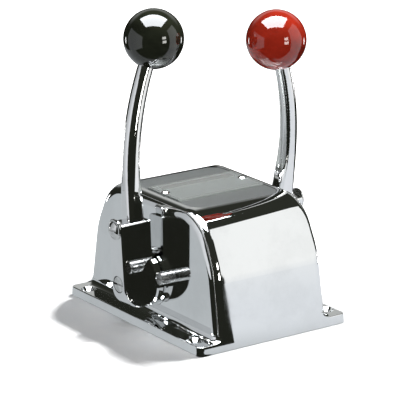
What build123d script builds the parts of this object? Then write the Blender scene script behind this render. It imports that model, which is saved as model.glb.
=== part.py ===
from build123d import *
import os
from math import cos, degrees, radians, sin, sqrt, tan

# Two-lever engine control head for a boat: a hollow die-cast housing, a gear
# shift lever on its -X side and a throttle lever on its +X side. Both levers
# turn about one line parallel to X. Inside, each lever's shaft carries a crank
# that pushes and pulls a control cable through the deck.
# Millimetres. Origin at the middle of the base's underside, +Z up, -Y forward.

# ---- Housing: outside ----------------------------------------------------
base_width = 132.8            # X, over the two side flanges
base_depth = 173.8            # Y, front edge to rear edge
flange_thickness = 6.8
flange_corner_radius = 4.5
flange_edge_radius = 0.8
cove_radius = 4.5             # hollow fillet from side wall to flange
housing_height = 95.4
housing_width = 100.0         # across the side walls, at the base
side_draft = 1.0              # degrees, each side wall
face_lean = 8.8               # degrees, lower part of the front and rear faces
upper_lean = 26.0             # degrees, upper part of the same faces
knee_drop = 38.0              # from the top down to where the two leans would meet
knee_radius = 60.0
shoulder_radius = 34.0        # upper face into the flat top
edge_radius = 7.5             # side walls into front, top and rear
satin_half_width = 39.5       # sunk satin field on the top
satin_half_depth = 43.5
satin_corner_radius = 12.0
satin_sink = 0.4

# ---- Housing: inside -----------------------------------------------------
wall = 4.0
inner_edge_radius = 3.5
deck_hole_x = 59.5            # deck screw holes, from the middle
deck_hole_y = 70.8
deck_hole_radius = 3.3
countersink_radius = 6.0

# ---- Pivot line and hub --------------------------------------------------
pivot_height = 33.5
shaft_radius = 6.35
running_gap = 0.05            # radial, shaft in bush and in bearing block
side_gap = 0.3                # axial, turning face to fixed face
wall_boss_radius = 21.0
wall_boss_face = 50.4         # X of the boss's outer face
inner_boss_radius = 13.0
inner_boss_length = 7.0       # below the inside of the wall
bush_wall = 2.15
bush_flange_radius = 11.0
bush_flange_thickness = 1.5
disc_radius = 19.5
disc_thickness = 6.0
disc_recess = 2.7             # the disc is let into the lever foot by this much
disc_bevel = 1.1

# ---- Stop pins -----------------------------------------------------------
stop_reach_y = 28.5
stop_rise = 9.0               # above the pivot line
stop_radius = 4.75
stop_stud_radius = 3.5
stop_length = 12.6            # proud of the wall
stop_groove = 0.7
stop_slot_width = 1.3
stop_slot_depth = 1.4

# ---- Lever foot ----------------------------------------------------------
foot_outer_x = 79.5
foot_width = 17.4             # Y
foot_top = 46.5               # above the pivot line
foot_bottom = 18.5            # below the pivot line
foot_taper = 1.0              # outer face leans in by this much at the bottom
foot_heel_radius = 15.0
foot_edge_radius = 1.8
foot_gap = 0.05               # bar tenon in its socket, hub disc in its recess

# ---- Lever bar -----------------------------------------------------------
bar_x = 63.8                  # middle of the bar where it leaves the foot
bar_foot_size = 14.2          # across the bar at the foot
bar_knob_size = 11.6          # across the bar at the knob
bar_foot_corner = 3.6         # of the bar's squarish section at the foot
bar_round_run = 40.0          # above the foot, from there up the bar is nearly round
bend_start = 74.0             # above the pivot line
bend_radius = 223.0
bend_angle = 22.2             # degrees
tenon_size = 10.0
tenon_length = 26.0
flute_radius = 6.0
flute_depth = 1.2
flute_start = 68.0            # above the pivot line
flute_clear = 9.0             # left plain below the knob

# ---- Knobs ---------------------------------------------------------------
knob_diameter = 44.45
knob_flat_radius = 6.2
stud_radius = 4.5
stud_length = 18.0
stud_gap = 0.05
stud_bottom_room = 2.0

# ---- Foot screws ---------------------------------------------------------
bar_screw_rise = 42.0         # above the pivot line
bar_screw_radius = 3.0
bar_screw_head_radius = 6.2
bar_screw_head_height = 2.6
bar_washer_radius = 7.8
bar_washer_thickness = 1.6
shaft_screw_radius = 3.5
shaft_screw_reach = 14.0      # into the shaft
shaft_screw_head_radius = 6.3
shaft_screw_head_height = 3.2
shaft_screw_sink = 1.0        # head below the foot's face
head_slot_width = 1.5
head_slot_depth = 1.5
counterbore_gap = 0.3

# ---- Shafts and cranks ---------------------------------------------------
shaft_inner_x = 1.0
shaft_outer_x = 74.0
shaft_flat = 5.0              # flat on the outer end, from the axis
key_width = 4.0
key_height = 4.0
key_start = 14.5
key_end = 34.5
clip_thickness = 1.0
clip_radius = 8.5
clip_groove_depth = 0.6
crank_hub_radius = 11.0
crank_hub_start = 14.5
crank_hub_end = 28.5
crank_arm_thickness = 6.0
crank_arm_start = 18.0
crank_throw = 34.0
crank_eye_radius = 7.5
crank_arm_root_radius = 9.5
plate_start = 29.5            # detent plate and brake drum
plate_thickness = 5.0
plate_radius = 16.0
notch_radius = 3.2
notch_depth = 1.0
notch_step = 30.0             # degrees, neutral to ahead and to astern

# ---- Cable swivels -------------------------------------------------------
swivel_pin_radius = 4.0
swivel_head = 12.0            # square head that takes the cable's end rod
swivel_hole_radius = 2.5
swivel_clip_radius = 6.2
swivel_clip_thickness = 1.0

# ---- Bearing block -------------------------------------------------------
block_half_width = 11.0
block_boss_radius = 12.0
web_half_thickness = 4.0
block_plate_drop = 11.4       # from the housing's top down to the block's plate
block_plate_thickness = 4.0
block_plate_half_x = 11.0
block_plate_half_y = 30.0
block_screw_y = 22.0
block_screw_radius = 2.5
block_screw_head_radius = 4.5
block_screw_head_height = 3.2
roof_boss_radius = 7.0
outrigger_bottom = 3.0
outrigger_thickness = 6.0
outrigger_half_width = 6.5
plunger_x = 32.0              # over the middle of plate and drum
barrel_radius = 6.5
barrel_drop = 4.95            # from the plungers' tops down to the barrels'
plunger_radius = 3.0
plunger_gap = 0.15            # plunger to plate and to drum
spring_wire = 0.7
spring_coils = 3.0
adjuster_length = 3.6

# ---- Nameplate -----------------------------------------------------------
plate_width = 77.0
plate_depth = 42.0
plate_gauge = 1.2
plate_corner = 2.0
plate_rim = 1.2
plate_rim_height = 0.35
plate_bar_depth = 8.0         # raised band along the rear of the plate
plate_screw_x = 35.0
plate_screw_y = 2.0
plate_screw_radius = 1.5
plate_screw_head_radius = 3.6
plate_screw_head_height = 1.7
plate_screw_length = 5.0

# ---- Rest position: lever's lean from upright, top towards -Y is positive --
shift_rest = -3.3
throttle_rest = 10.8

below = 12.0                  # the housing's outline is drawn this far under the base
half_depth = base_depth / 2
half_width = housing_width / 2
knee_height = housing_height - knee_drop
block_plate_top = housing_height - block_plate_drop
disc_face_x = wall_boss_face + side_gap + disc_thickness
foot_inner_x = disc_face_x - disc_recess
bush_radius = shaft_radius + running_gap + bush_wall
pivot = (0, 0, pivot_height)


def wall_x(z, inset=0.0):
    """X of the side wall's face at height z."""
    return half_width - z * tan(radians(side_draft)) - inset


def across(x_low, x_high, radius, y=0.0, z=0.0):
    """A cylinder along X."""
    length = x_high - x_low
    middle = (x_low + x_high) / 2
    return Location((middle, y, z)) * Rotation(0, 90, 0) * Cylinder(radius, length)


def upright(z_low, z_high, radius, x=0.0, y=0.0):
    """A cylinder along Z."""
    return Location((x, y, (z_low + z_high) / 2)) * Cylinder(radius, z_high - z_low)


def block(x_low, x_high, y_low, y_high, z_low, z_high):
    """A box between two corners."""
    middle = ((x_low + x_high) / 2, (y_low + y_high) / 2, (z_low + z_high) / 2)
    return Location(middle) * Box(x_high - x_low, y_high - y_low, z_high - z_low)


def at_pivot(shape):
    """Lift a shape drawn about the X axis to the pivot line."""
    return Location(pivot) * shape


def outline(inset):
    """Front-to-rear outline of the housing, in the YZ plane."""
    foot_y = half_depth + below * tan(radians(face_lean))
    knee_y = half_depth - knee_height * tan(radians(face_lean))
    top_y = knee_y - (housing_height - knee_height) * tan(radians(upper_lean))
    front = [(-foot_y, -below), (-knee_y, knee_height), (-top_y, housing_height)]
    rear = [(-y, z) for y, z in reversed(front)]
    radii = [knee_radius, shoulder_radius, shoulder_radius, knee_radius]
    edge = FilletPolyline(*front, *rear, radius=radii)
    face = make_face(edge.edges() + Line(rear[-1], front[0]).edges())
    if inset:
        face = offset(face, amount=-inset)
    return Plane.YZ * face


def dome(inset, radius):
    """The housing's body, or the hollow in it, run on below the base."""
    body = extrude(outline(inset), amount=base_width, both=True)
    high = housing_height + below
    sides = Polyline(
        (-wall_x(-below, inset), -below),
        (wall_x(-below, inset), -below),
        (wall_x(high, inset), high),
        (-wall_x(high, inset), high),
        close=True,
    )
    body &= extrude(Plane.XZ * make_face(sides.edges()), amount=base_depth, both=True)
    long_edges = [
        edge for edge in body.edges()
        if edge.center().Z > 1 - below and abs(edge.center().X) > half_width / 2
    ]
    return fillet(long_edges, radius)


def flange():
    """The base slab, flush with the housing's front and rear faces."""
    slab = Pos(0, 0, flange_thickness / 2) * Box(base_width, base_depth + below, flange_thickness)
    slab &= extrude(outline(0), amount=base_width, both=True)
    corners = [
        edge for edge in slab.edges()
        if abs(edge.center().X) > base_width / 2 - 1 and abs(edge.center().Y) > half_depth - 5
        and abs(edge.center().Z - flange_thickness / 2) < 1
    ]
    slab = fillet(corners, flange_corner_radius)
    return fillet(slab.edges().group_by(Axis.Z)[-1], flange_edge_radius)


def cove():
    """Hollow fillet round the +X wall, from the flange's top to the wall."""
    side = wall_x(flange_thickness)
    end = half_depth - flange_thickness * tan(radians(face_lean))
    start_x = side - 3 * edge_radius
    path = FilletPolyline((start_x, -end), (side, -end), (side, end), (start_x, end), radius=edge_radius)
    path = Pos(0, 0, flange_thickness) * path
    r = cove_radius
    root = flange_edge_radius
    low = Polyline((0, r), (-root, r), (-root, -root), (r, -root), (r, 0))
    curve = RadiusArc((r, 0), (0, r), r)
    section = make_face(low.edges() + curve.edges())
    start = Plane(origin=(start_x, -end, flange_thickness), x_dir=(0, -1, 0), z_dir=(-1, 0, 0))
    return sweep(start * section, path=path)


def make_housing():
    """The casting: shell, flanges, hub bosses, roof bosses and every hole in it."""
    body = dome(0, edge_radius) + flange()
    rim = cove()
    flush = extrude(outline(0), amount=base_width, both=True)
    body += (rim + mirror(rim, about=Plane.YZ)) & flush
    body -= block(-base_width, base_width, -base_depth, base_depth, -2 * below, 0)
    hollow = dome(wall, inner_edge_radius)
    body -= hollow
    for side in (-1, 1):
        outer = at_pivot(across(wall_x(pivot_height) - 1, wall_boss_face, wall_boss_radius))
        inner_face = wall_x(pivot_height, wall)
        inner = at_pivot(across(inner_face - inner_boss_length, inner_face + 1, inner_boss_radius))
        bore = at_pivot(across(0, base_width, bush_radius))
        bosses = [outer, inner]
        if side < 0:
            bosses = [mirror(boss, about=Plane.YZ) for boss in bosses]
            bore = mirror(bore, about=Plane.YZ)
        body = body + bosses[0] + bosses[1]
        body -= bore
    for y in (-block_screw_y, block_screw_y):
        body += upright(block_plate_top, housing_height - wall / 2, roof_boss_radius, y=y)
        body -= upright(block_plate_top - 1, housing_height - wall, block_screw_radius, y=y)
    for x in (-deck_hole_x, deck_hole_x):
        for y in (-deck_hole_y, deck_hole_y):
            body -= upright(-1, flange_thickness + 1, deck_hole_radius, x, y)
            sink = countersink_radius - deck_hole_radius
            cone = Cone(deck_hole_radius, countersink_radius, sink)
            body -= Pos(x, y, flange_thickness - sink / 2) * cone
    for x in (-1, 1):
        for y in (-stop_reach_y, stop_reach_y):
            z = pivot_height + stop_rise
            span = sorted((x * (wall_x(z, wall) - 2), x * (wall_x(z) + 2)))
            body -= across(*span, stop_stud_radius, y, z)
    field = extrude(
        RectangleRounded(2 * satin_half_width, 2 * satin_half_depth, satin_corner_radius),
        amount=2 * housing_height,
    )
    body -= field & (flush - extrude(outline(satin_sink), amount=base_width, both=True))
    for x in (-plate_screw_x, plate_screw_x):
        body -= upright(housing_height - wall - 1, housing_height + 1, plate_screw_radius, x, plate_screw_y)
    return body


def make_nameplate():
    """Thin plate with a raised rim and a raised band, left blank."""
    floor = housing_height - satin_sink
    blank = extrude(RectangleRounded(plate_width, plate_depth, plate_corner), amount=plate_gauge)
    top = plate_gauge
    outer = RectangleRounded(plate_width - 2, plate_depth - 2, plate_corner - 0.5)
    inner = RectangleRounded(plate_width - 2 - 2 * plate_rim, plate_depth - 2 - 2 * plate_rim, 0.6)
    blank += Pos(0, 0, top) * extrude(outer - inner, amount=plate_rim_height)
    band = Rectangle(plate_width - 10 - 2 * plate_rim, plate_bar_depth)
    band_y = plate_depth / 2 - plate_rim - plate_bar_depth
    blank += Pos(0, band_y, top) * extrude(band, amount=plate_rim_height)
    for x in (-plate_screw_x, plate_screw_x):
        blank -= upright(-1, 2 * plate_gauge, plate_screw_radius, x, plate_screw_y)
        seat = upright(top, 2 * plate_gauge, plate_screw_head_radius + 0.4, x, plate_screw_y)
        blank -= seat
    return Pos(0, 0, floor) * blank


def dome_head(radius, height):
    """A domed screw head standing on the XY plane."""
    ball_radius = (radius ** 2 + height ** 2) / (2 * height)
    cap = Pos(0, 0, height - ball_radius) * Sphere(ball_radius)
    return cap & Pos(0, 0, height / 2) * Box(4 * radius, 4 * radius, height)


def make_nameplate_screws():
    """Two dome-head drive screws."""
    seat = housing_height - satin_sink + plate_gauge
    screws = []
    for x in (-plate_screw_x, plate_screw_x):
        head = Pos(x, plate_screw_y, seat) * dome_head(plate_screw_head_radius, plate_screw_head_height)
        screws.append(head + upright(seat - plate_screw_length, seat, plate_screw_radius, x, plate_screw_y))
    return screws


def make_bush():
    """Flanged bearing bush of the +X side."""
    inner_face = wall_x(pivot_height, wall) - inner_boss_length
    bush = across(inner_face, wall_boss_face, bush_radius)
    bush += across(inner_face - bush_flange_thickness, inner_face, bush_flange_radius)
    bush -= across(0, base_width, shaft_radius + running_gap)
    return at_pivot(bush)


def make_stop_pins():
    """The two slotted stop pins of the +X side."""
    z = pivot_height + stop_rise
    root = wall_x(z) + 0.2
    pins = []
    for y in (-stop_reach_y, stop_reach_y):
        pin = across(root, root + stop_length, stop_radius, y, z)
        pin = chamfer(pin.edges().sort_by(Axis.X)[-1], 0.5)
        neck = across(root + 1.7, root + 1.7 + stop_groove, 2 * stop_radius, y, z)
        neck -= across(root, root + stop_length, stop_radius - stop_groove, y, z)
        pin -= neck
        end = root + stop_length
        half = stop_slot_width / 2
        pin -= block(end - stop_slot_depth, end + 1, y - 9, y + 9, z - half, z + half)
        pin += across(wall_x(z, wall) + 0.3, root, stop_stud_radius, y, z)
        pins.append(pin)
    return pins


def make_hub_disc():
    """Bevelled disc between the wall boss and the lever foot."""
    disc = across(wall_boss_face + side_gap, disc_face_x, disc_radius)
    disc = chamfer(disc.edges().filter_by(GeomType.CIRCLE), disc_bevel)
    return at_pivot(disc - shaft_blank(0))


def shaft_blank(gap):
    """The shaft's plain form with the driving flat on its outer end."""
    rod = across(shaft_inner_x, shaft_outer_x, shaft_radius + gap)
    cut = block(wall_boss_face, base_width, -20, 20, shaft_flat + gap, 20)
    return rod - cut


def make_shaft():
    """Lever shaft, keyed inside and tapped at its outer end."""
    shaft = shaft_blank(0)
    shaft -= block(key_start, key_end, -key_width / 2, key_width / 2, shaft_radius - key_height / 2, 20)
    ring = across(block_half_width + side_gap, block_half_width + side_gap + clip_thickness, 20)
    ring -= across(0, base_width, shaft_radius - clip_groove_depth)
    shaft -= ring
    shaft -= across(shaft_outer_x - shaft_screw_reach - 2, shaft_outer_x + 1, shaft_screw_radius)
    return at_pivot(shaft)


def make_clip():
    """Retaining ring that keeps the shaft's inner end in the bearing block."""
    low = block_half_width + side_gap
    ring = across(low, low + clip_thickness, clip_radius)
    ring -= across(0, base_width, shaft_radius - clip_groove_depth)
    ring -= block(0, base_width, -1.5, 1.5, -20, 0)
    return at_pivot(ring)


def make_key():
    """Square key shared by the crank and the plate beside it."""
    bottom = shaft_radius - key_height / 2
    half = key_width / 2
    return at_pivot(block(key_start, key_end, -half, half, bottom, bottom + key_height))


def keyed_bore():
    """What the shaft and key take out of a hub."""
    half = key_width / 2
    slot = block(0, key_end, -half, half, 0, shaft_radius + key_height / 2)
    return across(0, base_width, shaft_radius) + slot


def make_crank():
    """Crank with its arm to the rear and an eye for the cable swivel."""
    hub = across(crank_hub_start, crank_hub_end, crank_hub_radius)
    root = Circle(crank_arm_root_radius)
    eye = Pos(crank_throw, 0) * Circle(crank_eye_radius)
    arm = extrude(make_hull(root.edges() + eye.edges()), amount=crank_arm_thickness)
    arm = Location((crank_arm_start, 0, 0)) * (Plane.YZ * arm)
    crank = hub + arm - keyed_bore()
    crank -= across(0, base_width, swivel_pin_radius + running_gap, y=crank_throw)
    screw_x = (crank_arm_start + crank_arm_thickness + crank_hub_end) / 2
    crank -= Location((screw_x, 0, 0)) * Rotation(90, 0, 0) * Pos(0, 0, 10) * Cylinder(1.6, 20)
    return at_pivot(crank)


def make_crank_screw():
    """Set screw through the crank's hub."""
    screw_x = (crank_arm_start + crank_arm_thickness + crank_hub_end) / 2
    length = crank_hub_radius - shaft_radius - 0.2
    middle = -(shaft_radius + length / 2)
    return at_pivot(Location((screw_x, middle, 0)) * Rotation(90, 0, 0) * Cylinder(1.6, length))


def make_detent_plate():
    """Plate with three rim notches: astern, neutral and ahead."""
    plate = across(plate_start, plate_start + plate_thickness, plate_radius) - keyed_bore()
    for angle in (-notch_step, 0, notch_step):
        reach = plate_radius + notch_radius - notch_depth
        y = reach * sin(radians(angle))
        z = -reach * cos(radians(angle))
        plate -= across(plate_start - 1, plate_start + plate_thickness + 1, notch_radius, y, z)
    return at_pivot(plate)


def make_brake_drum():
    """Plain drum that the friction pad rubs on."""
    drum = across(plate_start, plate_start + plate_thickness, plate_radius)
    drum = chamfer(drum.edges().filter_by(GeomType.CIRCLE), 0.6)
    return at_pivot(drum - keyed_bore())


def make_foot():
    """Lever foot: clamps the shaft and holds the bar."""
    top = pivot_height + foot_top
    bottom = pivot_height - foot_bottom
    side = FilletPolyline(
        (foot_inner_x, bottom),
        (foot_outer_x - foot_taper, bottom),
        (foot_outer_x, top),
        (foot_inner_x, top),
        radius=[foot_heel_radius, foot_edge_radius],
    )
    face = make_face(side.edges() + Line((foot_inner_x, top), (foot_inner_x, bottom)).edges())
    foot = extrude(Plane.XZ * face, amount=foot_width / 2, both=True)
    rims = [
        edge for edge in foot.edges()
        if abs(abs(edge.center().Y) - foot_width / 2) < 0.01 and edge.center().X > foot_inner_x + 0.01
    ]
    foot = fillet(rims, foot_edge_radius)
    seat = disc_radius + foot_gap
    recess = across(0, disc_face_x, seat) + block(0, disc_face_x, -seat, seat, -2 * seat, 0)
    foot -= at_pivot(recess + shaft_blank(0))
    shelf = foot_outer_x - shaft_screw_head_height - shaft_screw_sink
    foot -= at_pivot(across(0, shelf, shaft_screw_radius + 0.2))
    foot -= at_pivot(across(shelf, base_width, shaft_screw_head_radius + counterbore_gap))
    half = tenon_size / 2 + foot_gap
    foot -= block(bar_x - half, bar_x + half, -half, half, top - tenon_length - 1, top + 1)
    foot -= across(bar_x, base_width, bar_screw_radius, z=pivot_height + bar_screw_rise)
    spot = across(foot_outer_x - 0.4, base_width, bar_washer_radius + 0.2, z=pivot_height + bar_screw_rise)
    return foot - spot


def bend_place(angle, offset_x=0.0):
    """Point on the bar's bent middle line, and the plane square to it."""
    middle_x = bar_x - bend_radius
    reach = bend_radius + offset_x
    x = middle_x + reach * cos(radians(angle))
    z = pivot_height + bend_start + reach * sin(radians(angle))
    normal = (-sin(radians(angle)), 0, cos(radians(angle)))
    return Plane(origin=(x, 0, z), x_dir=(cos(radians(angle)), 0, sin(radians(angle))), z_dir=normal)


def knob_centre():
    """Centre of the knob's ball."""
    reach = sqrt((knob_diameter / 2) ** 2 - knob_flat_radius ** 2)
    end = bend_place(bend_angle)
    return end.origin + end.z_dir * reach


def make_bar():
    """The lever's bar: tenon, straight run, taper along the bend, stud for the knob."""
    top = pivot_height + foot_top
    run = bend_start - foot_top
    whole = run + radians(bend_angle) * bend_radius

    def section(plane, travelled):
        share = travelled / whole
        size = bar_foot_size + (bar_knob_size - bar_foot_size) * share
        corner = bar_foot_corner + (size / 2 - 0.15 - bar_foot_corner) * min(1, travelled / bar_round_run)
        return plane * RectangleRounded(size, size, corner)

    foot_plane = Plane(origin=(bar_x, 0, top), x_dir=(1, 0, 0), z_dir=(0, 0, 1))
    straight = loft([section(foot_plane, 0), section(bend_place(0), run)])
    steps = 4
    turns = [bend_angle * step / steps for step in range(steps + 1)]
    sections = [section(bend_place(turn), run + radians(turn) * bend_radius) for turn in turns]
    bar = straight + loft(sections)
    half = tenon_size / 2
    bar += block(bar_x - half, bar_x + half, -half, half, top - tenon_length, top)
    bar -= across(bar_x, base_width, bar_screw_radius, z=pivot_height + bar_screw_rise) & block(
        bar_x, bar_x + half, -half, half, 0, top)
    end = bend_place(bend_angle)
    bar += end * Pos(0, 0, stud_length / 2) * Cylinder(stud_radius, stud_length)
    return bar - flute()


def flute():
    """Shallow groove up the bar's inner face, with round ends."""
    low_half = bar_foot_size / 2 - 0.3
    high_half = bar_knob_size / 2
    low = Vector(bar_x - low_half - flute_radius + flute_depth, 0, pivot_height + flute_start)
    last = bend_angle - degrees(flute_clear / bend_radius)
    middle = bend_place(last / 2, -(low_half + high_half) / 2 - flute_radius + flute_depth).origin
    high = bend_place(last, -high_half - flute_radius + flute_depth * 0.7).origin
    path = ThreePointArc(low, middle, high)
    start = Plane(origin=low, z_dir=path % 0)
    groove = sweep(start * Circle(flute_radius), path=path)
    return groove + Pos(*low) * Sphere(flute_radius)


def make_knob():
    """Ball knob, bored for the bar's stud."""
    end = bend_place(bend_angle)
    ball = Pos(*knob_centre()) * Sphere(knob_diameter / 2)
    ball -= end * Pos(0, 0, -knob_diameter / 2) * Box(knob_diameter, knob_diameter, knob_diameter)
    depth = stud_length + stud_bottom_room
    return ball - end * Pos(0, 0, depth / 2) * Cylinder(stud_radius + stud_gap, depth)


def facing_out(x, z, shape):
    """Put a shape drawn on the XY plane on a face that looks along +X."""
    return Plane(origin=(x, 0, z), x_dir=(0, 1, 0), z_dir=(1, 0, 0)) * shape


def slotted(head, height, radius):
    """Cut a screwdriver slot across a head that stands on the XY plane."""
    slot = Box(3 * radius, head_slot_width, head_slot_depth)
    return head - Pos(0, 0, height - head_slot_depth / 2 + 0.05) * slot


def make_bar_screw():
    """Screw that holds the bar's tenon in the foot."""
    z = pivot_height + bar_screw_rise
    seat = foot_outer_x - 0.4 + bar_washer_thickness
    head = dome_head(bar_screw_head_radius, bar_screw_head_height)
    head = slotted(head, bar_screw_head_height, bar_screw_head_radius)
    shank = across(bar_x + 0.5, seat, bar_screw_radius, z=z)
    return facing_out(seat, z, head) + shank


def make_bar_washer():
    """Thick washer under the bar screw's head."""
    z = pivot_height + bar_screw_rise
    seat = foot_outer_x - 0.4
    ring = across(seat, seat + bar_washer_thickness, bar_washer_radius, z=z)
    ring = chamfer(ring.edges().sort_by(Axis.X)[-1], 0.5)
    return ring - across(seat - 1, seat + 9, bar_screw_radius, z=z)


def make_shaft_screw():
    """Screw that draws the foot on to the shaft, sunk in the foot's outer face."""
    shelf = foot_outer_x - shaft_screw_head_height - shaft_screw_sink
    head = Cylinder(shaft_screw_head_radius, shaft_screw_head_height)
    head = Pos(0, 0, shaft_screw_head_height / 2) * head
    head = chamfer(head.edges().sort_by(Axis.Z)[-1], 0.6)
    head = slotted(head, shaft_screw_head_height, shaft_screw_head_radius)
    shank = at_pivot(across(shaft_outer_x - shaft_screw_reach, shelf, shaft_screw_radius))
    return facing_out(shelf, pivot_height, head) + shank


def make_swivel(lean):
    """Cable swivel in the crank's eye, upright whatever the crank does."""
    y, z = crank_eye(lean)
    head_start = crank_arm_start + crank_arm_thickness + side_gap
    pin_start = crank_arm_start - side_gap - swivel_clip_thickness - 0.8
    half = swivel_head / 2
    head = block(head_start, head_start + swivel_head, y - half, y + half, z - half, z + half)
    head = fillet(head.edges().filter_by(Axis.X), 2.5)
    swivel = head + across(pin_start, head_start, swivel_pin_radius, y, z)
    groove = across(pin_start + 0.8, pin_start + 0.8 + swivel_clip_thickness, 9, y, z)
    swivel -= groove - across(0, base_width, swivel_pin_radius - 0.5, y, z)
    middle_x = head_start + half
    return swivel - upright(z - half - 1, z + half + 1, swivel_hole_radius, middle_x, y)


def make_swivel_clip(lean):
    """Ring that keeps the swivel in the eye."""
    y, z = crank_eye(lean)
    low = crank_arm_start - side_gap - swivel_clip_thickness
    ring = across(low, low + swivel_clip_thickness, swivel_clip_radius, y, z)
    return ring - across(0, base_width, swivel_pin_radius - 0.5, y, z)


def crank_eye(lean):
    """Y and Z of the crank's eye when the lever leans by so many degrees."""
    return crank_throw * cos(radians(lean)), pivot_height + crank_throw * sin(radians(lean))


def make_bearing_block():
    """Casting that hangs from the roof, carries both shafts and the two plungers."""
    plate_low = block_plate_top - block_plate_thickness
    body = block(-block_plate_half_x, block_plate_half_x, -block_plate_half_y, block_plate_half_y,
                 plate_low, block_plate_top)
    web = Polyline(
        (-outrigger_half_width, outrigger_bottom),
        (outrigger_half_width, outrigger_bottom),
        (block_boss_radius - 1, pivot_height),
        (block_plate_half_y - 2, plate_low + 1),
        (2 - block_plate_half_y, plate_low + 1),
        (1 - block_boss_radius, pivot_height),
        close=True,
    )
    body += extrude(Plane.YZ * make_face(web.edges()), amount=web_half_thickness, both=True)
    body += at_pivot(across(-block_half_width, block_half_width, block_boss_radius))
    reach = plunger_x
    body += block(-reach, reach, -outrigger_half_width, outrigger_half_width,
                  outrigger_bottom, outrigger_bottom + outrigger_thickness)
    for x in (-plunger_x, plunger_x):
        body += upright(outrigger_bottom, plunger_top() - barrel_drop, barrel_radius, x)
        body -= upright(0, pivot_height / 2, plunger_radius + 0.1, x)
    body -= at_pivot(across(-base_width, base_width, shaft_radius + running_gap))
    for y in (-block_screw_y, block_screw_y):
        body -= upright(plate_low - 1, block_plate_top + 1, block_screw_radius, y=y)
        body -= upright(plate_low - 12, plate_low, block_screw_head_radius + 0.5, y=y)
    return body


def make_block_screws():
    """Two socket-head screws up into the roof bosses."""
    low = block_plate_top - block_plate_thickness
    screws = []
    for y in (-block_screw_y, block_screw_y):
        head = upright(low - block_screw_head_height, low, block_screw_head_radius, y=y)
        socket = Pos(0, y, low - block_screw_head_height) * extrude(RegularPolygon(2.2, 6), amount=1.8)
        shank = upright(low, housing_height - wall - 1, block_screw_radius, y=y)
        screws.append(head + shank - socket)
    return screws


def plunger_top():
    """Height of the plungers' upper ends, just under plate and drum."""
    return pivot_height - plate_radius - plunger_gap


def make_detent_ball():
    """Ball that the spring holds up to the detent plate."""
    return Pos(-plunger_x, 0, plunger_top() - plunger_radius) * Sphere(plunger_radius)


def make_friction_pad():
    """Pad that rubs on the brake drum, hollowed to its curve."""
    top = plunger_top()
    pad = upright(top - 2 * plunger_radius, top + 1, plunger_radius, plunger_x)
    return pad - at_pivot(across(0, base_width, plate_radius + plunger_gap))


def make_adjuster(x):
    """Slotted set screw under the spring."""
    bottom = outrigger_bottom + 0.4
    screw = upright(bottom, bottom + adjuster_length, plunger_radius + 0.1, x)
    return screw - block(x - 5, x + 5, -0.5, 0.5, bottom - 1, bottom + 1)


def make_spring(x, top):
    """Compression spring between the set screw and the ball or pad."""
    bottom = outrigger_bottom + 0.4 + adjuster_length
    radius = plunger_radius - spring_wire / 2 - 0.2
    height = top - bottom - spring_wire
    coil = Helix(pitch=height / spring_coils, height=height, radius=radius)
    start = Plane(origin=coil @ 0, z_dir=coil % 0)
    wire = sweep(start * RegularPolygon(spring_wire / 2, 6), path=coil)
    return Pos(x, 0, bottom + spring_wire / 2) * wire


def place(shape, side, lean=0.0):
    """Mirror a +X shape to its side and lean it about the pivot line."""
    if side < 0:
        shape = mirror(shape, about=Plane.YZ)
    if lean:
        turn = Location(pivot) * Rotation(lean, 0, 0) * Location(pivot).inverse()
        shape = turn * shape
    return shape


def save(name, shape):
    """Write one node as one STEP file."""
    if isinstance(shape, (list, tuple)):
        shape = Compound(children=list(shape))
    export_step(shape, f"parts/{name}.step")


def save_side(name, side, lean):
    """Write every piece of one lever."""
    moving = {
        "lever_foot": make_foot(),
        "lever_bar": make_bar(),
        "knob": make_knob(),
        "bar_screw": make_bar_screw(),
        "bar_washer": make_bar_washer(),
        "shaft_screw": make_shaft_screw(),
        "hub_disc": make_hub_disc(),
        "shaft": make_shaft(),
        "shaft_key": make_key(),
        "retaining_ring": make_clip(),
        "crank": make_crank(),
        "crank_screw": make_crank_screw(),
    }
    for piece, shape in moving.items():
        save(f"{name}_{piece}", place(shape, side, lean))
    save(f"{name}_cable_swivel", place(make_swivel(lean), side))
    save(f"{name}_swivel_clip", place(make_swivel_clip(lean), side))
    save(f"{name}_bush", place(make_bush(), side))
    save(f"{name}_stop_pins", [place(pin, side) for pin in make_stop_pins()])


def main():
    os.makedirs("parts", exist_ok=True)
    save("housing", make_housing())
    save("nameplate", make_nameplate())
    save("nameplate_screws", make_nameplate_screws())
    save("bearing_block", make_bearing_block())
    save("bearing_block_screws", make_block_screws())
    save_side("shift", -1, shift_rest)
    save_side("throttle", 1, throttle_rest)
    save("shift_detent_plate", place(make_detent_plate(), -1, shift_rest))
    save("throttle_brake_drum", place(make_brake_drum(), 1, throttle_rest))
    save("detent_ball", make_detent_ball())
    save("detent_spring", make_spring(-plunger_x, plunger_top() - 2 * plunger_radius))
    save("detent_adjuster", make_adjuster(-plunger_x))
    save("friction_pad", make_friction_pad())
    save("friction_spring", make_spring(plunger_x, plunger_top() - 2 * plunger_radius))
    save("friction_adjuster", make_adjuster(plunger_x))


main()
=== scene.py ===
from math import radians

import bpy
from mathutils import Matrix, Vector


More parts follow.
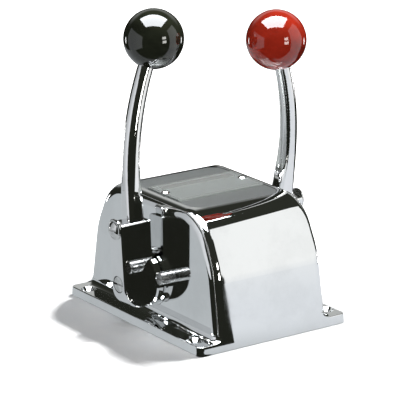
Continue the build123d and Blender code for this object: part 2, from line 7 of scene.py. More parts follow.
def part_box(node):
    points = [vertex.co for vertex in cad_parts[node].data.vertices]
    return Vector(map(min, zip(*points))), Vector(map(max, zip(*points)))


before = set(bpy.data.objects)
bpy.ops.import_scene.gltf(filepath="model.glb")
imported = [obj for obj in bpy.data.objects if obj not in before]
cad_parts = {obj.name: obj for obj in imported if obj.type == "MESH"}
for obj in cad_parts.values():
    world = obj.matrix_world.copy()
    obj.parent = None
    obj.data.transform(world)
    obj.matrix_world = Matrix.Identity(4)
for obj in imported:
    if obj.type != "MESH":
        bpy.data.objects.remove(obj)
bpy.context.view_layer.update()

bl_info = {
    "name": "Two-lever engine control",
    "version": (1, 0, 0),
    "blender": (4, 5, 0),
    "location": "3D View > Sidebar > Engine control",
    "description": "Finishes for a chromed boat engine control head, and its studio",
    "category": "Material",
}

SIDES = ("shift", "throttle")
PIVOT = Vector((0.0, 0.0, 0.0335))    # middle of the line that both levers turn about

# The housing's outer skin, which tells plating from bare casting. Lengths are in metres.
END_PROFILE = (    # a height, and half the housing's depth there
    (0.0, 0.0869), (0.0400, 0.0807), (0.0574, 0.0773), (0.0680, 0.0730), (0.0763, 0.0689),
    (0.0854, 0.0623), (0.0908, 0.0553), (0.0942, 0.0471), (0.0954, 0.0383))
ROOF_HEIGHT = 0.0954
WALL_FOOT = 0.05                  # half the width between the walls' feet
WALL_LEAN = -0.01746              # added to it for each metre of height
FIELD_HEIGHTS = (0.0922, 0.0928)  # the satin field can only lie above these
CURVE_SPAN = 0.1                  # what a curve node's range of 0 to 1 stands for

# Depths of surface marks
HOUSING_WAVE = 0.00005
LEVER_WAVE = 0.00003
BLAST_DEPTH = 0.00003
CAST_DEPTH = 0.0003
ETCH_DEPTH = 0.00002
BRUSH_DEPTH = 0.00001
LATHE_DEPTH = 0.000004
FLOW_DEPTH = 0.000012
BLOOM_DEPTH = 0.000008
SAND_DEPTH = 0.00025
FIBRE_DEPTH = 0.00008

# Colour of the painted shade line along the sunk satin field's edge
FIELD_EDGE_SHADE = (0.05, 0.052, 0.048)
SATIN_ROUGHNESS = 0.42
BARE_ROUGHNESS = 0.55
ETCHED_ROUGHNESS = 0.46
RIM_ROUGHNESS = 0.24
SCREW_POLISH = (0.06, 0.16)       # lowest and highest roughness
PIN_POLISH = (0.20, 0.32)
TURNED = {    # colour, lowest and highest roughness, and depth of the lathe's rings
    "machined_steel": ((0.50, 0.50, 0.49), (0.18, 0.38), 0.000006),
    "bearing_bronze": ((0.58, 0.36, 0.15), (0.20, 0.42), 0.000008),
    "swivel_brass": ((0.76, 0.57, 0.24), (0.16, 0.34), 0.000005),
    "spring_steel": ((0.30, 0.30, 0.30), (0.25, 0.45), 0.000003),
}

# Studio directions are given round the camera's own heading: azimuth 0 is
# towards the camera and +90 to its right.
HEADING = radians(35.08)
RIGHT = Vector((0.819, -0.574, 0.0))
NEAR = Vector((-0.574, -0.819, 0.0))
UP = Vector((0.0, 0.0, 1.0))
CAMERA_PLACE = (-1.0145, -1.4369, 0.6112)
CAMERA_AIM = (-0.02797, -0.03225, 0.09752)
CAMERA_LENS = 221.56
KEY_PLACE = (1.592, 0.224, 2.353)
KEY_AIM = (0.0, 0.0, 0.0)
TOP_PLACE = (-0.316, -0.450, 0.850)
TOP_AIM = (0.0, 0.0, 0.1)

# What metal mirrors: the room's low and high parts, and the glow of what stands in it. A pair
# holds the glow at a panel's two ends.
ROOM_LOW = (0.012, 0.013, 0.010)
ROOM_HIGH = (0.026, 0.028, 0.022)
ROOM_CARDS = (    # degrees either side of the camera, degrees up, softness in radians, glow
    ((140.0, 200.0), (14.0, 33.0), (0.25, 0.10), (0.50, 0.51, 0.50)),
    ((127.0, 131.0), (-15.0, -6.0), (0.02, 0.03), (10.0, 10.0, 10.0)),
)
SOFTBOX = (13.5, 14.0, 14.6)
WINDOW = (8.0, 8.0, 7.6)
TABLE = ((0.50, 0.53, 0.55), (0.81, 0.84, 0.88))
RIGHT_CARD = ((0.81, 0.84, 0.88), (1.01, 1.02, 1.015))
LEFT_CARD = ((0.46, 0.48, 0.50), (0.78, 0.80, 0.83))

# The floor keeps the shadow round this rounded box, and past it fades to plain white.
FLOOR_SIZE = 14.0
FADE_MIDDLE = (-0.012, -0.014, 0.0)
FADE_HALF_WIDTH = 0.066
FADE_HALF_DEPTH = 0.087
FADE_CORNER = 0.006
FADE_SPAN = (0.028, 0.046)        # how far outside the box the fade starts and ends


# ---- Small tools for node trees -------------------------------------------

def add(tree, kind, *inputs, **settings):
    """Add a node; a socket among the inputs is linked, None is left alone."""
    node = tree.nodes.new("ShaderNode" + kind)
    for name, value in settings.items():
        setattr(node, name, value)
    for index, value in enumerate(inputs):
        if value is None:
            continue
        if isinstance(value, bpy.types.NodeSocket):
            tree.links.new(value, node.inputs[index])
        else:
            node.inputs[index].default_value = value
    return node


def calc(tree, operation, *values):
    """A Math node's result."""
    return add(tree, "Math", *values, operation=operation).outputs[0]


def vector(tree, operation, *values):
    """A Vector Math node's result."""
    node = add(tree, "VectorMath", *values, operation=operation)
    return node.outputs["Value" if operation in ("LENGTH", "DOT_PRODUCT") else "Vector"]


def split(tree, place):
    """A position's X, Y and Z."""
    return tuple(add(tree, "SeparateXYZ", place).outputs)


def ramp(tree, value, low, high, out_low=0.0, out_high=1.0):
    """Value eased from one range to another and held at its ends."""
    node = add(tree, "MapRange", value, low, high, out_low, out_high,
               interpolation_type="SMOOTHSTEP")
    return node.outputs[0]


def band(tree, value, low, high, soft):
    """1 between low and high, 0 outside, with soft edges."""
    rise = ramp(tree, value, low - soft, low + soft)
    fall = ramp(tree, value, high - soft, high + soft, 1.0, 0.0)
    return calc(tree, "MULTIPLY", rise, fall)


def mix(tree, share, first, second):
    """A colour between two colours."""
    node = add(tree, "Mix", data_type="RGBA")
    for index, value in ((0, share), (6, first), (7, second)):
        if isinstance(value, bpy.types.NodeSocket):
            tree.links.new(value, node.inputs[index])
        else:
            node.inputs[index].default_value = value if index == 0 else (*value, 1.0)
    return node.outputs[2]


def fade(tree, value, low, high, first, second):
    """A colour that turns from one into another as a value rises from low to high."""
    return mix(tree, ramp(tree, value, low, high), first, second)


def scaled(colour, share):
    """A colour made darker or lighter."""
    return tuple(min(1.0, share * part) for part in colour)


def noise(tree, place, scale, detail, roughness, stretch=None):
    """Noise value at a place, with its cells stretched where wanted."""
    if stretch is not None:
        place = vector(tree, "MULTIPLY", place, stretch)
    return add(tree, "TexNoise", place, None, scale, detail, roughness).outputs[0]


def bumped(tree, height, depth):
    """Normal of a bump with the given depth in metres."""
    node = tree.nodes.new("ShaderNodeBump")
    node.inputs["Distance"].default_value = depth
    tree.links.new(height, node.inputs["Height"])
    return node.outputs["Normal"]


def start(name, **sockets):
    """A new material with one Principled shader; returns material, tree, shader, place."""
    material = bpy.data.materials.new(name)
    material.use_nodes = True
    tree = material.node_tree
    shader = tree.nodes["Principled BSDF"]
    for socket, value in sockets.items():
        shader.inputs[socket.replace("_", " ")].default_value = value
    place = tree.nodes.new("ShaderNodeTexCoord").outputs["Object"]
    return material, tree, shader, place


def wire(tree, shader, **links):
    """Link values to the shader's sockets by name."""
    for socket, value in links.items():
        tree.links.new(value, shader.inputs[socket.replace("_", " ")])


def dress(nodes, material):
    """Give CAD nodes a finish."""
    for name in nodes:
        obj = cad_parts[name]
        obj.data.materials.clear()
        obj.data.materials.append(material)


def both(*pieces):
    """The two sides' nodes of each name."""
    return [f"{side}_{piece}" for piece in pieces for side in SIDES]


def middle(node):
    """Middle of a CAD node's box."""
    low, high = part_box(node)
    return (low + high) / 2


# ---- Finishes -------------------------------------------------------------

def chrome(name, tint, haze, wave, wave_size):
    """Mirror chrome: slow waves of hand polishing, thin haze and hairline scratches."""
    material, tree, shader, place = start(name, Metallic=1.0)
    slow = noise(tree, place, 1.0 / wave_size, 1.0, 0.4)
    smear = noise(tree, place, 34.0, 5.0, 0.62)
    hair = noise(tree, place, 900.0, 2.0, 0.6, (1.0, 0.06, 0.25))
    colour = fade(tree, smear, 0.42, 0.68, tint, scaled(tint, 0.93))
    rough = ramp(tree, smear, 0.35, 0.75, haze, haze * 2.4)
    scratch = ramp(tree, hair, 0.66, 0.78, 0.0, 0.05)
    wire(tree, shader, Base_Color=colour, Roughness=calc(tree, "ADD", rough, scratch),
         Normal=bumped(tree, slow, wave))
    return material


def rounded_box(tree, place, half_x, half_y, corner):
    """Distance from a rounded rectangle's edge in plan, negative inside."""
    flat = vector(tree, "MULTIPLY", vector(tree, "ABSOLUTE", place), (1.0, 1.0, 0.0))
    inner = (half_x - corner, half_y - corner, 0.0)
    over = vector(tree, "SUBTRACT", flat, inner)
    outside = vector(tree, "LENGTH", vector(tree, "MAXIMUM", over, (0.0, 0.0, 0.0)))
    return calc(tree, "SUBTRACT", outside, corner)


def skin_distance(tree, x, y, z):
    """How far inside the housing's outer skin a point lies: its ends, walls and roof."""
    profile = add(tree, "FloatCurve", 1.0, calc(tree, "MULTIPLY", z, 1.0 / CURVE_SPAN))
    line = profile.mapping.curves[0]
    points = [(height / CURVE_SPAN, half / CURVE_SPAN) for height, half in END_PROFILE]
    line.points[0].location = points[0]
    line.points[1].location = points[-1]
    for point in points[1:-1]:
        line.points.new(*point)
    profile.mapping.update()
    end = calc(tree, "MULTIPLY", profile.outputs[0], CURVE_SPAN)
    from_end = calc(tree, "SUBTRACT", end, calc(tree, "ABSOLUTE", y))
    wall = calc(tree, "MULTIPLY_ADD", z, WALL_LEAN, WALL_FOOT)
    from_wall = calc(tree, "SUBTRACT", wall, calc(tree, "ABSOLUTE", x))
    from_roof = calc(tree, "SUBTRACT", ROOF_HEIGHT, z)
    return calc(tree, "MINIMUM", calc(tree, "MINIMUM", from_end, from_wall), from_roof)


class HousingFinish(bpy.types.PropertyGroup):
    """Sizes and colours of the housing's finish."""
    chrome_tint: bpy.props.FloatVectorProperty(
        name="Chrome tint", description="Colour of the plated skin", subtype="COLOR",
        size=3, min=0.0, max=1.0, default=(0.87, 0.88, 0.88))
    satin_tint: bpy.props.FloatVectorProperty(
        name="Satin tint", description="Colour of the sunk field on the top", subtype="COLOR",
        size=3, min=0.0, max=1.0, default=(0.30, 0.31, 0.305))
    cast_tint: bpy.props.FloatVectorProperty(
        name="Casting tint", description="Colour of the bare casting inside", subtype="COLOR",
        size=3, min=0.0, max=1.0, default=(0.42, 0.42, 0.41))
    field_half_width: bpy.props.FloatProperty(
        name="Field half width", description="Half the satin field's width",
        subtype="DISTANCE", unit="LENGTH", default=0.0395)
    field_half_depth: bpy.props.FloatProperty(
        name="Field half depth", description="Half the satin field's depth",
        subtype="DISTANCE", unit="LENGTH", default=0.0435)
    field_corner: bpy.props.FloatProperty(
        name="Field corner", description="Corner radius of the satin field",
        subtype="DISTANCE", unit="LENGTH", default=0.012)
    skin_depth: bpy.props.FloatProperty(
        name="Skin depth", description="Depth from the outside at which the bare casting starts",
        subtype="DISTANCE", unit="LENGTH", default=0.0022)


class LeverFinish(bpy.types.PropertyGroup):
    """Colours of the levers and their hardware."""
    chrome_tint: bpy.props.FloatVectorProperty(
        name="Chrome tint", description="Colour of the plated levers", subtype="COLOR",
        size=3, min=0.0, max=1.0, default=(0.88, 0.88, 0.88))
    turned_tint: bpy.props.FloatVectorProperty(
        name="Turned tint", description="Colour of the plated pins and screws", subtype="COLOR",
        size=3, min=0.0, max=1.0, default=(0.80, 0.80, 0.79))


class KnobFinish(bpy.types.PropertyGroup):
    """Colours of the two ball knobs."""
    black: bpy.props.FloatVectorProperty(
        name="Gear knob", description="Colour of the gear shift's knob", subtype="COLOR",
        size=3, min=0.0, max=1.0, default=(0.031, 0.036, 0.022))
    red: bpy.props.FloatVectorProperty(
        name="Throttle knob", description="Colour of the throttle's knob", subtype="COLOR",
        size=3, min=0.0, max=1.0, default=(0.66, 0.042, 0.018))
    gloss: bpy.props.FloatProperty(
        name="Gloss roughness", description="Roughness of the knobs' polish", subtype="FACTOR",
        min=0.0, max=1.0, default=0.03)


class StudioSettings(bpy.types.PropertyGroup):
    """Levels of the studio."""
    key_strength: bpy.props.FloatProperty(
        name="Key strength", description="Strength of the lamp that throws the shadow",
        min=0.0, default=3.05)
    top_power: bpy.props.FloatProperty(
        name="Top power", description="Power of the broad lamp above the camera",
        subtype="POWER", unit="POWER", default=3.5)
    ambient: bpy.props.FloatProperty(
        name="Ambient", description="Level of the light from all round", subtype="FACTOR",
        min=0.0, max=1.0, default=0.06)


class CONTROL_OT_finish_housing(bpy.types.Operator):
    """Chrome the housing, with its satin field on top and bare casting inside"""
    bl_idname = "engine_control.finish_housing"
    bl_label = "Finish the housing"

    def execute(self, context):
        opts = context.scene.housing_finish
        material, tree, shader, place = start("housing_chrome", Metallic=1.0)
        x, y, z = split(tree, place)

        # Satin fills the sunk field, and a thin painted shade line darkens its edge. The casting
        # is bare below the plating and where it faces down.
        edge = rounded_box(tree, place, opts.field_half_width, opts.field_half_depth,
                           opts.field_corner)
        on_top = ramp(tree, z, *FIELD_HEIGHTS)
        satin = calc(tree, "MULTIPLY", on_top, ramp(tree, edge, -0.00005, 0.0001, 1.0, 0.0))
        edge_shade = calc(tree, "MULTIPLY", on_top, band(tree, edge, -0.0006, 0.0002, 0.0003))
        deep = ramp(tree, skin_distance(tree, x, y, z), opts.skin_depth - 0.0002, opts.skin_depth)
        facing = add(tree, "NewGeometry").outputs["Normal"]
        down = calc(tree, "MULTIPLY", split(tree, facing)[2], -1.0)
        bare = calc(tree, "MAXIMUM", deep, ramp(tree, down, 0.6, 0.9))
        bare = calc(tree, "MULTIPLY", bare, calc(tree, "SUBTRACT", 1.0, satin))

        slow = noise(tree, place, 22.0, 1.0, 0.4)
        smear = noise(tree, place, 30.0, 5.0, 0.62)
        hair = noise(tree, place, 900.0, 2.0, 0.6, (0.08, 1.0, 0.3))
        blast = noise(tree, place, 2600.0, 2.0, 0.7)
        cast = noise(tree, place, 700.0, 4.0, 0.7)

        skin, grey, raw = tuple(opts.chrome_tint), tuple(opts.satin_tint), tuple(opts.cast_tint)
        plated = fade(tree, smear, 0.42, 0.70, skin, scaled(skin, 0.94))
        blasted = fade(tree, blast, 0.3, 0.7, scaled(grey, 0.84), scaled(grey, 1.16))
        colour = mix(tree, satin, plated, blasted)
        # Painted shade darkens the satin field's edge
        colour = mix(tree, calc(tree, "MULTIPLY", edge_shade, 0.75), colour, FIELD_EDGE_SHADE)
        colour = mix(tree, bare, colour, fade(tree, cast, 0.35, 0.7, scaled(raw, 0.7), raw))

        rough = ramp(tree, smear, 0.35, 0.75, 0.022, 0.055)
        rough = calc(tree, "ADD", rough, ramp(tree, hair, 0.68, 0.8, 0.0, 0.035))
        rough = calc(tree, "MAXIMUM", rough, calc(tree, "MULTIPLY", satin, SATIN_ROUGHNESS))
        rough = calc(tree, "MAXIMUM", rough, calc(tree, "MULTIPLY", bare, BARE_ROUGHNESS))

        height = calc(tree, "MULTIPLY", blast, calc(tree, "MULTIPLY", satin, BLAST_DEPTH))
        height = calc(tree, "MULTIPLY_ADD", slow, HOUSING_WAVE, height)
        height = calc(tree, "MULTIPLY_ADD", cast, calc(tree, "MULTIPLY", bare, CAST_DEPTH), height)
        wire(tree, shader, Base_Color=colour, Roughness=rough, Normal=bumped(tree, height, 1.0))
        dress(["housing"], material)
        return {"FINISHED"}


class CONTROL_OT_finish_nameplate(bpy.types.Operator):
    """Etched field and polished rim for the blank nameplate"""
    bl_idname = "engine_control.finish_nameplate"
    bl_label = "Finish the nameplate"

    def execute(self, context):
        material, tree, shader, place = start("nameplate_metal", Metallic=1.0)
        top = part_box("nameplate")[1].z
        raised = ramp(tree, split(tree, place)[2], top - 0.00012, top - 0.00004)
        grain = noise(tree, place, 2400.0, 2.0, 0.7)
        brushed = noise(tree, place, 1500.0, 2.0, 0.6, (0.04, 1.0, 1.0))
        etched = fade(tree, grain, 0.3, 0.7, (0.34, 0.355, 0.34), (0.50, 0.52, 0.50))
        polished = fade(tree, brushed, 0.3, 0.7, (0.74, 0.75, 0.74), (0.86, 0.87, 0.86))
        colour = mix(tree, raised, etched, polished)
        rough = mix(tree, raised, (ETCHED_ROUGHNESS,) * 3, (RIM_ROUGHNESS,) * 3)
        height = calc(tree, "MULTIPLY_ADD", grain, ETCH_DEPTH,
                      calc(tree, "MULTIPLY", brushed, BRUSH_DEPTH))
        wire(tree, shader, Base_Color=colour, Roughness=rough, Normal=bumped(tree, height, 1.0))
        dress(["nameplate"], material)
        return {"FINISHED"}


class CONTROL_OT_finish_levers(bpy.types.Operator):
    """Chrome the feet, bars and hub discs"""
    bl_idname = "engine_control.finish_levers"
    bl_label = "Finish the levers"

    def execute(self, context):
        tint = tuple(context.scene.lever_finish.chrome_tint)
        plating = chrome("lever_chrome", tint, haze=0.022, wave=LEVER_WAVE, wave_size=0.030)
        dress(both("lever_foot", "lever_bar", "hub_disc"), plating)
        return {"FINISHED"}


def turned(tree, place, centre):
    """Position along an axis parallel to X and out from it, for turned marks."""
    moved = vector(tree, "SUBTRACT", place, tuple(centre))
    out = vector(tree, "LENGTH", vector(tree, "MULTIPLY", moved, (0.0, 1.0, 1.0)))
    return add(tree, "CombineXYZ", split(tree, moved)[0], out, 0.0).outputs[0]


def turned_metal(name, centre, tint, polish, depth):
    """Metal with the fine rings that a lathe leaves, darker in the rings' low places.

    Polish holds its lowest and highest roughness."""
    material, tree, shader, place = start(name, Metallic=1.0)
    ring = turned(tree, place, centre)
    lines = noise(tree, ring, 2200.0, 3.0, 0.7)
    broad = noise(tree, place, 160.0, 4.0, 0.6)
    dark = scaled(tint, 0.72)
    colour = fade(tree, broad, 0.38, 0.72, tint, dark)
    colour = mix(tree, ramp(tree, lines, 0.25, 0.75, 0.25, 0.0), colour, dark)
    worn = calc(tree, "MULTIPLY", calc(tree, "ADD", lines, broad), 0.5)
    wire(tree, shader, Base_Color=colour, Roughness=ramp(tree, worn, 0.3, 0.7, *polish),
         Normal=bumped(tree, lines, depth))
    return material


class CONTROL_OT_finish_hardware(bpy.types.Operator):
    """Chrome-plated screws, washers and stop pins"""
    bl_idname = "engine_control.finish_hardware"
    bl_label = "Finish the plated hardware"

    def execute(self, context):
        tint = tuple(context.scene.lever_finish.turned_tint)
        for side in SIDES:
            for piece in ("bar_screw", "bar_washer", "shaft_screw"):
                node = f"{side}_{piece}"
                plating = turned_metal(f"{node}_plating", middle(node), tint, SCREW_POLISH,
                                       LATHE_DEPTH)
                dress([node], plating)
        pins = turned_metal("stop_pin_plating", PIVOT, tint, PIN_POLISH, LATHE_DEPTH)
        dress(both("stop_pins"), pins)
        heads = chrome("nameplate_screw_plating", tint, haze=0.05, wave=0.00001, wave_size=0.004)
        dress(["nameplate_screws"], heads)
        return {"FINISHED"}


def moulded(name, colour, gloss, deep):
    """Glossy moulded resin: faint flow marks under a polished skin with fine swirls."""
    material, tree, shader, place = start(
        name, Metallic=0.0, IOR=1.55, Coat_Weight=0.35, Coat_Roughness=0.02, Coat_IOR=1.5)
    flow = noise(tree, place, 60.0, 4.0, 0.55, (1.0, 1.0, 2.4))
    speck = noise(tree, place, 900.0, 2.0, 0.5)
    swirl = noise(tree, place, 240.0, 3.0, 0.6, (1.0, 0.3, 1.0))
    body = fade(tree, flow, 0.35, 0.7, colour, deep)
    body = mix(tree, ramp(tree, speck, 0.70, 0.82, 0.0, 0.35), body, scaled(colour, 1.5))
    rough = ramp(tree, swirl, 0.35, 0.75, gloss, gloss * 2.5)
    wire(tree, shader, Base_Color=body, Roughness=rough, Normal=bumped(tree, flow, FLOW_DEPTH))
    return material


class CONTROL_OT_finish_knobs(bpy.types.Operator):
    """Black and red resin for the ball knobs"""
    bl_idname = "engine_control.finish_knobs"
    bl_label = "Finish the knobs"

    def execute(self, context):
        opts = context.scene.knob_finish
        for node, slot, tint, deep in (("shift_knob", "knob_black", tuple(opts.black), 0.7),
                                       ("throttle_knob", "knob_red", tuple(opts.red), 0.82)):
            dress([node], moulded(slot, tint, opts.gloss, scaled(tint, deep)))
        return {"FINISHED"}


class CONTROL_OT_finish_running_gear(bpy.types.Operator):
    """Bronze, brass, steel and casting inside the housing"""
    bl_idname = "engine_control.finish_running_gear"
    bl_label = "Finish the running gear"

    def execute(self, context):
        steel = turned_metal("machined_steel", PIVOT, *TURNED["machined_steel"])
        dress(both("shaft", "crank") + ["shift_detent_plate", "throttle_brake_drum",
                                        "detent_ball"], steel)
        bronze = turned_metal("bearing_bronze", PIVOT, *TURNED["bearing_bronze"])
        dress(both("bush"), bronze)
        for side in SIDES:
            swivel = f"{side}_cable_swivel"
            brass = turned_metal(f"{side}_swivel_brass", middle(swivel), *TURNED["swivel_brass"])
            dress([swivel], brass)
        fasteners = both("shaft_key", "retaining_ring", "crank_screw", "swivel_clip") + [
            "bearing_block_screws", "detent_adjuster", "friction_adjuster"]
        dress(fasteners, self.zinc_plate())
        spring = turned_metal("spring_steel", PIVOT, *TURNED["spring_steel"])
        dress(["detent_spring", "friction_spring"], spring)
        dress(["bearing_block"], self.casting())
        dress(["friction_pad"], self.pad())
        return {"FINISHED"}

    def zinc_plate(self):
        """Bright zinc with its cloudy bloom."""
        material, tree, shader, place = start("fastener_steel", Metallic=1.0)
        cloud = noise(tree, place, 220.0, 5.0, 0.65)
        fine = noise(tree, place, 1800.0, 2.0, 0.5)
        colour = fade(tree, cloud, 0.35, 0.7, (0.64, 0.65, 0.66), (0.45, 0.46, 0.45))
        rough = ramp(tree, cloud, 0.3, 0.7, 0.22, 0.42)
        wire(tree, shader, Base_Color=colour, Roughness=rough,
             Normal=bumped(tree, fine, BLOOM_DEPTH))
        return material

    def casting(self):
        """Sand-cast alloy with a coarse skin."""
        material, tree, shader, place = start("block_casting", Metallic=1.0)
        skin = noise(tree, place, 620.0, 5.0, 0.7)
        stain = noise(tree, place, 70.0, 3.0, 0.6)
        colour = fade(tree, skin, 0.3, 0.75, (0.36, 0.36, 0.35), (0.52, 0.52, 0.51))
        colour = mix(tree, ramp(tree, stain, 0.5, 0.75, 0.0, 0.45), colour, (0.26, 0.25, 0.23))
        rough = ramp(tree, skin, 0.3, 0.7, 0.45, 0.62)
        wire(tree, shader, Base_Color=colour, Roughness=rough,
             Normal=bumped(tree, skin, SAND_DEPTH))
        return material

    def pad(self):
        """Pressed friction fibre."""
        material, tree, shader, place = start("pad_fibre", Metallic=0.0)
        fibre = noise(tree, place, 1500.0, 3.0, 0.7, (0.2, 1.0, 1.0))
        colour = fade(tree, fibre, 0.35, 0.7, (0.10, 0.06, 0.035), (0.22, 0.15, 0.10))
        rough = ramp(tree, fibre, 0.3, 0.7, 0.7, 0.9)
        wire(tree, shader, Base_Color=colour, Roughness=rough,
             Normal=bumped(tree, fibre, FIBRE_DEPTH))
        return material


# ---- Studio ---------------------------------------------------------------

def studio_heading(tree, direction):
    """Direction turned so that X is to the camera's right and Y points away from it."""
    turn = add(tree, "Mapping", direction, None, (0.0, 0.0, HEADING), vector_type="POINT")
    return split(tree, turn.outputs[0])


def studio_point(right, near, up):
    """Point given to the camera's right, towards the camera and upwards."""
    return right * RIGHT + near * NEAR + up * UP


def card(tree, aside, up, sides, heights, soft):
    """Share of a card seen in a direction; its edges are in degrees, their softness in radians."""
    across = band(tree, aside, radians(sides[0]), radians(sides[1]), soft[0])
    along = band(tree, up, radians(heights[0]), radians(heights[1]), soft[1])
    return calc(tree, "MULTIPLY", across, along)


def studio_world(ambient):
    """World: white to the camera and a dim even light on floor and paint.

    Metal mirrors a dark room with a pale far wall and two low lamps."""
    world = bpy.data.worlds.new("studio")
    bpy.context.scene.world = world
    world.use_nodes = True
    tree = world.node_tree
    direction = add(tree, "TexCoord").outputs["Generated"]
    right, away, height = studio_heading(tree, direction)
    around = calc(tree, "ARCTAN2", right, calc(tree, "MULTIPLY", away, -1.0))
    aside = calc(tree, "ABSOLUTE", around)
    up = calc(tree, "ARCSINE", height)

    colour = fade(tree, up, -0.6, 0.9, ROOM_LOW, ROOM_HIGH)
    for *place, glow in ROOM_CARDS:
        colour = mix(tree, card(tree, aside, up, *place), colour, glow)

    path = add(tree, "LightPath")
    colour = mix(tree, path.outputs["Is Glossy Ray"], (ambient, ambient, 1.02 * ambient), colour)
    colour = mix(tree, path.outputs["Is Camera Ray"], colour, (1.0, 1.0, 1.0))
    tree.links.new(colour, tree.nodes["Background"].inputs["Color"])


def panel(name, centre, across, along, material):
    """A flat panel of the stage from its middle and its two sides."""
    bpy.ops.object.select_all(action="DESELECT")
    bpy.ops.mesh.primitive_plane_add(size=1.0)
    obj = bpy.context.object
    obj.name = name
    turn = Matrix((across, along, across.cross(along).normalized())).transposed().to_4x4()
    obj.data.transform(Matrix.Translation(centre) @ turn)
    obj.data.materials.append(material)
    return obj


def mirrored_panel(name, centre, across, along, low, high, axis, span):
    """A panel that only metal mirrors, its glow running from one colour to another."""
    material, tree, shader, place = start(name, Roughness=1.0)
    shader.inputs["Specular IOR Level"].default_value = 0.0
    shader.inputs["Base Color"].default_value = (0.0, 0.0, 0.0, 1.0)
    shader.inputs["Emission Strength"].default_value = 1.0
    way = vector(tree, "DOT_PRODUCT", place, tuple(axis))
    wire(tree, shader, Emission_Color=fade(tree, way, *span, low, high))
    obj = panel(name, centre, across, along, material)
    obj.visible_camera = obj.visible_diffuse = obj.visible_shadow = False


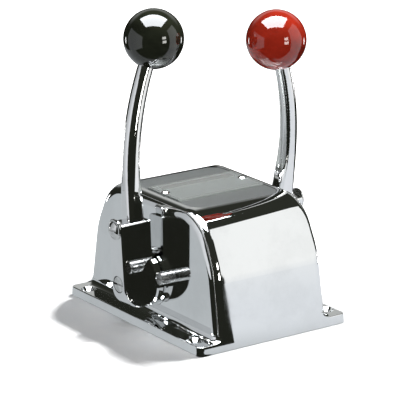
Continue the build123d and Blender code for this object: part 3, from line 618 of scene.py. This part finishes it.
class CONTROL_OT_set_stage(bpy.types.Operator):
    """White floor, soft lamps, the panels that the metal mirrors and the camera"""
    bl_idname = "engine_control.set_stage"
    bl_label = "Set the stage"

    def execute(self, context):
        opts = context.scene.studio_settings
        studio_world(opts.ambient)
        floor = panel("floor", Vector((0.0, 0.0, -0.0004)), FLOOR_SIZE * RIGHT,
                      -FLOOR_SIZE * NEAR, self.paper())
        floor.visible_glossy = False
        self.panels()
        self.lamps(opts)
        self.camera()
        context.scene.view_settings.view_transform = "Standard"
        return {"FINISHED"}

    def panels(self):
        """Table, softbox, side cards and two small windows."""
        table = (*TABLE, RIGHT, (-0.08, 0.20))
        panels = [
            ("table", studio_point(-0.19, -0.0225, -0.0002), 0.42 * RIGHT, 0.255 * NEAR, *table),
            ("table_far", studio_point(-0.26, -0.38, -0.0002), 0.28 * RIGHT, 0.46 * NEAR, *table),
            ("table_end", studio_point(0.18, 0.003, -0.0002), 0.32 * RIGHT + 0.1242 * NEAR,
             0.30 * NEAR, *table),
            ("table_lip", Vector((0.009, -0.108, -0.0003)), Vector((0.122, 0.0, 0.0)),
             Vector((0.0, 0.044, 0.0)), *table),
            ("softbox", studio_point(-0.037, 0.098, 0.825), 0.80 * RIGHT,
             studio_point(0.0, 0.625, 0.175), SOFTBOX, SOFTBOX, UP, (0.7, 0.9)),
            ("right_card", studio_point(0.34, 0.067, 0.244), 0.296 * NEAR, 0.492 * UP,
             *RIGHT_CARD, UP, (-0.005, 0.08)),
            ("left_card", studio_point(-0.40, 0.155, 0.1825), 0.53 * NEAR, 0.365 * UP,
             *LEFT_CARD, NEAR, (-0.11, 0.30)),
        ]
        for height in (0.425, 0.177):
            panels.append(("window", studio_point(0.632, 0.769, height),
                           0.19 * (RIGHT - 0.9 * NEAR), 0.16 * UP, WINDOW, WINDOW, UP, (0.0, 0.6)))
        for settings in panels:
            mirrored_panel(*settings)

    def lamps(self, opts):
        """A small strong lamp for the shadow and a broad one; metal mirrors neither."""
        key = bpy.data.lights.new("key", "SUN")
        key.energy = opts.key_strength
        key.angle = radians(4.0)
        key.color = (1.0, 0.995, 0.985)
        top = bpy.data.lights.new("top", "AREA")
        top.shape = "RECTANGLE"
        top.size, top.size_y = 0.80, 0.65
        top.energy = opts.top_power
        for lamp, place, aim in ((key, KEY_PLACE, KEY_AIM), (top, TOP_PLACE, TOP_AIM)):
            self.point_at(lamp, place, aim).visible_glossy = False

    def camera(self):
        """A long lens, well back."""
        camera = bpy.data.cameras.new("camera")
        camera.lens = CAMERA_LENS
        camera.sensor_width = 36.0
        camera.clip_start, camera.clip_end = 0.05, 60.0
        bpy.context.scene.camera = self.point_at(camera, CAMERA_PLACE, CAMERA_AIM)

    def point_at(self, data, place, aim):
        """Add a lamp or camera to the scene, turned to face a point."""
        obj = bpy.data.objects.new(data.name, data)
        bpy.context.scene.collection.objects.link(obj)
        obj.location = place
        obj.rotation_euler = (Vector(aim) - Vector(place)).to_track_quat("-Z", "Y").to_euler()
        return obj

    def paper(self):
        """White paper that keeps the shadow near the base and fades to plain white beyond it."""
        material, tree, shader, place = start("floor_paper", Roughness=0.9)
        shader.inputs["Specular IOR Level"].default_value = 0.0
        shader.inputs["Emission Color"].default_value = (1.0, 1.0, 1.0, 1.0)
        path = add(tree, "LightPath")
        fibre = noise(tree, place, 40.0, 3.0, 0.6)
        pale = fade(tree, fibre, 0.3, 0.7, (0.86, 0.87, 0.88), (0.90, 0.90, 0.90))
        # Little light is thrown back up, so that what faces the floor stays dark.
        colour = mix(tree, path.outputs["Is Diffuse Ray"], pale, (0.20, 0.19, 0.22))
        seen = calc(tree, "MAXIMUM", path.outputs["Is Camera Ray"], path.outputs["Is Glossy Ray"])
        seen = calc(tree, "MAXIMUM", seen, path.outputs["Is Transmission Ray"])
        away = rounded_box(tree, vector(tree, "SUBTRACT", place, FADE_MIDDLE),
                           FADE_HALF_WIDTH, FADE_HALF_DEPTH, FADE_CORNER)
        glow = calc(tree, "MULTIPLY", seen, ramp(tree, away, *FADE_SPAN, 0.02, 1.0))
        wire(tree, shader, Base_Color=colour, Emission_Strength=glow)
        return material


OPERATORS = (
    CONTROL_OT_finish_housing,
    CONTROL_OT_finish_nameplate,
    CONTROL_OT_finish_levers,
    CONTROL_OT_finish_hardware,
    CONTROL_OT_finish_knobs,
    CONTROL_OT_finish_running_gear,
    CONTROL_OT_set_stage,
)
GROUPS = {
    "housing_finish": HousingFinish,
    "lever_finish": LeverFinish,
    "knob_finish": KnobFinish,
    "studio_settings": StudioSettings,
}


class CONTROL_PT_panel(bpy.types.Panel):
    """Engine control finishes"""
    bl_idname = "CONTROL_PT_panel"
    bl_label = "Engine control"
    bl_space_type = "VIEW_3D"
    bl_region_type = "UI"
    bl_category = "Engine control"

    def draw(self, context):
        for operator in OPERATORS:
            self.layout.operator(operator.bl_idname)
        for name in GROUPS:
            box = self.layout.box()
            group = getattr(context.scene, name)
            for prop in group.bl_rna.properties:
                if not prop.is_readonly and prop.identifier != "name":
                    box.prop(group, prop.identifier)


def register():
    for name, group in GROUPS.items():
        bpy.utils.register_class(group)
        setattr(bpy.types.Scene, name, bpy.props.PointerProperty(type=group))
    for cls in (*OPERATORS, CONTROL_PT_panel):
        bpy.utils.register_class(cls)


def unregister():
    for cls in reversed((*OPERATORS, CONTROL_PT_panel)):
        bpy.utils.unregister_class(cls)
    for name, group in GROUPS.items():
        delattr(bpy.types.Scene, name)
        bpy.utils.unregister_class(group)


def main():
    register()
    for operator in OPERATORS:
        group, name = operator.bl_idname.split(".")
        result = getattr(getattr(bpy.ops, group), name)()
        if result != {"FINISHED"}:
            raise RuntimeError(f"{operator.bl_idname} didn't finish")


if __name__ == "__main__":
    main()
